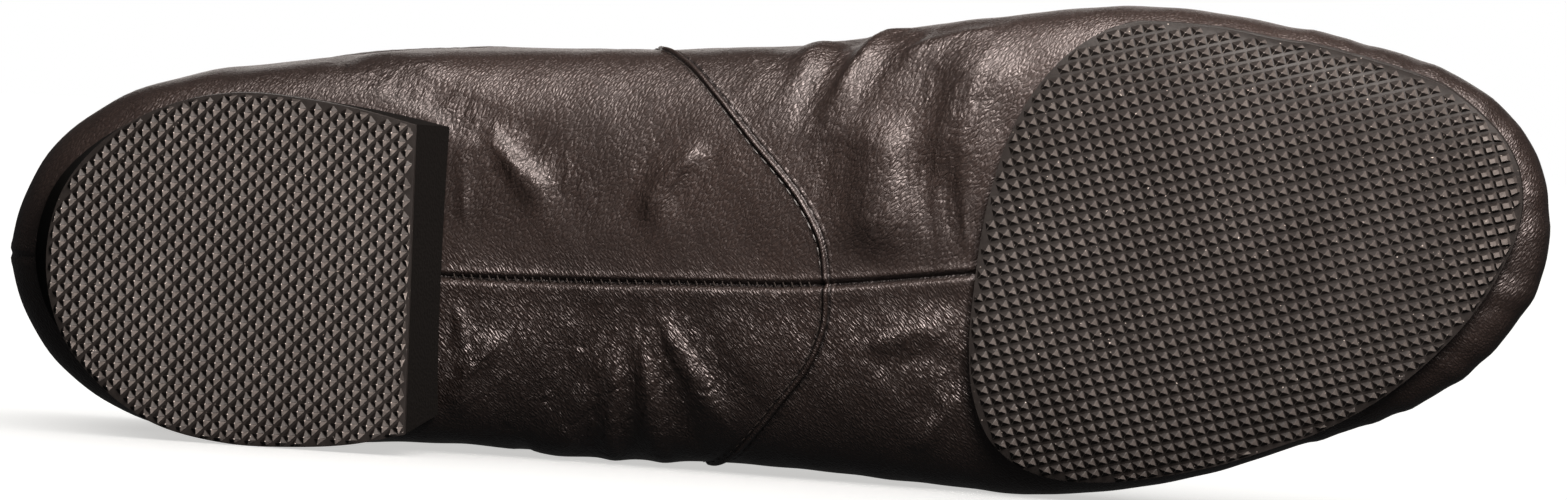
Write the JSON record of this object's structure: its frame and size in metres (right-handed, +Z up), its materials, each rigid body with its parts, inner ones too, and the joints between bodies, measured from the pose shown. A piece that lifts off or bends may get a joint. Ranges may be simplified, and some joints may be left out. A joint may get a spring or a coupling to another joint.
{
  "type": "jazz shoe",
  "caption": "Left slip-on jazz shoe in dark leather with a split rubber sole, low foam heel, seam across the arch and bound collar, lying on its lateral side.",
  "frame": {"origin": "centre of the bounding box's bottom, on the floor under the shoe", "axes": "+X from heel to toe, +Y from the sole to the shoe's top, +Z up from the floor: the shoe lies on its lateral side"},
  "size_m": [0.2792, 0.0834, 0.0877],
  "materials": {
    "upper_leather": "soft satin full-grain leather, very dark warm brown-black",
    "seam_leather": "satin leather, lapped and stitched",
    "binding_leather": "soft satin folded leather",
    "insole_fabric": "matte brushed textile sock",
    "heel_foam": "dead matte foam rubber",
    "heel_rubber": "matte rubber with a fine waffle tread",
    "sole_rubber": "matte rubber with a fine waffle tread, buffed at the toe"
  },
  "bodies": {
    "root": {"upper": "upper_leather", "arch_seam": "seam_leather", "collar_binding": "binding_leather", "insole": "insole_fabric", "heel_block": "heel_foam", "heel_pad": "heel_rubber", "forefoot_sole": "sole_rubber"}
  },
  "joints": []
}
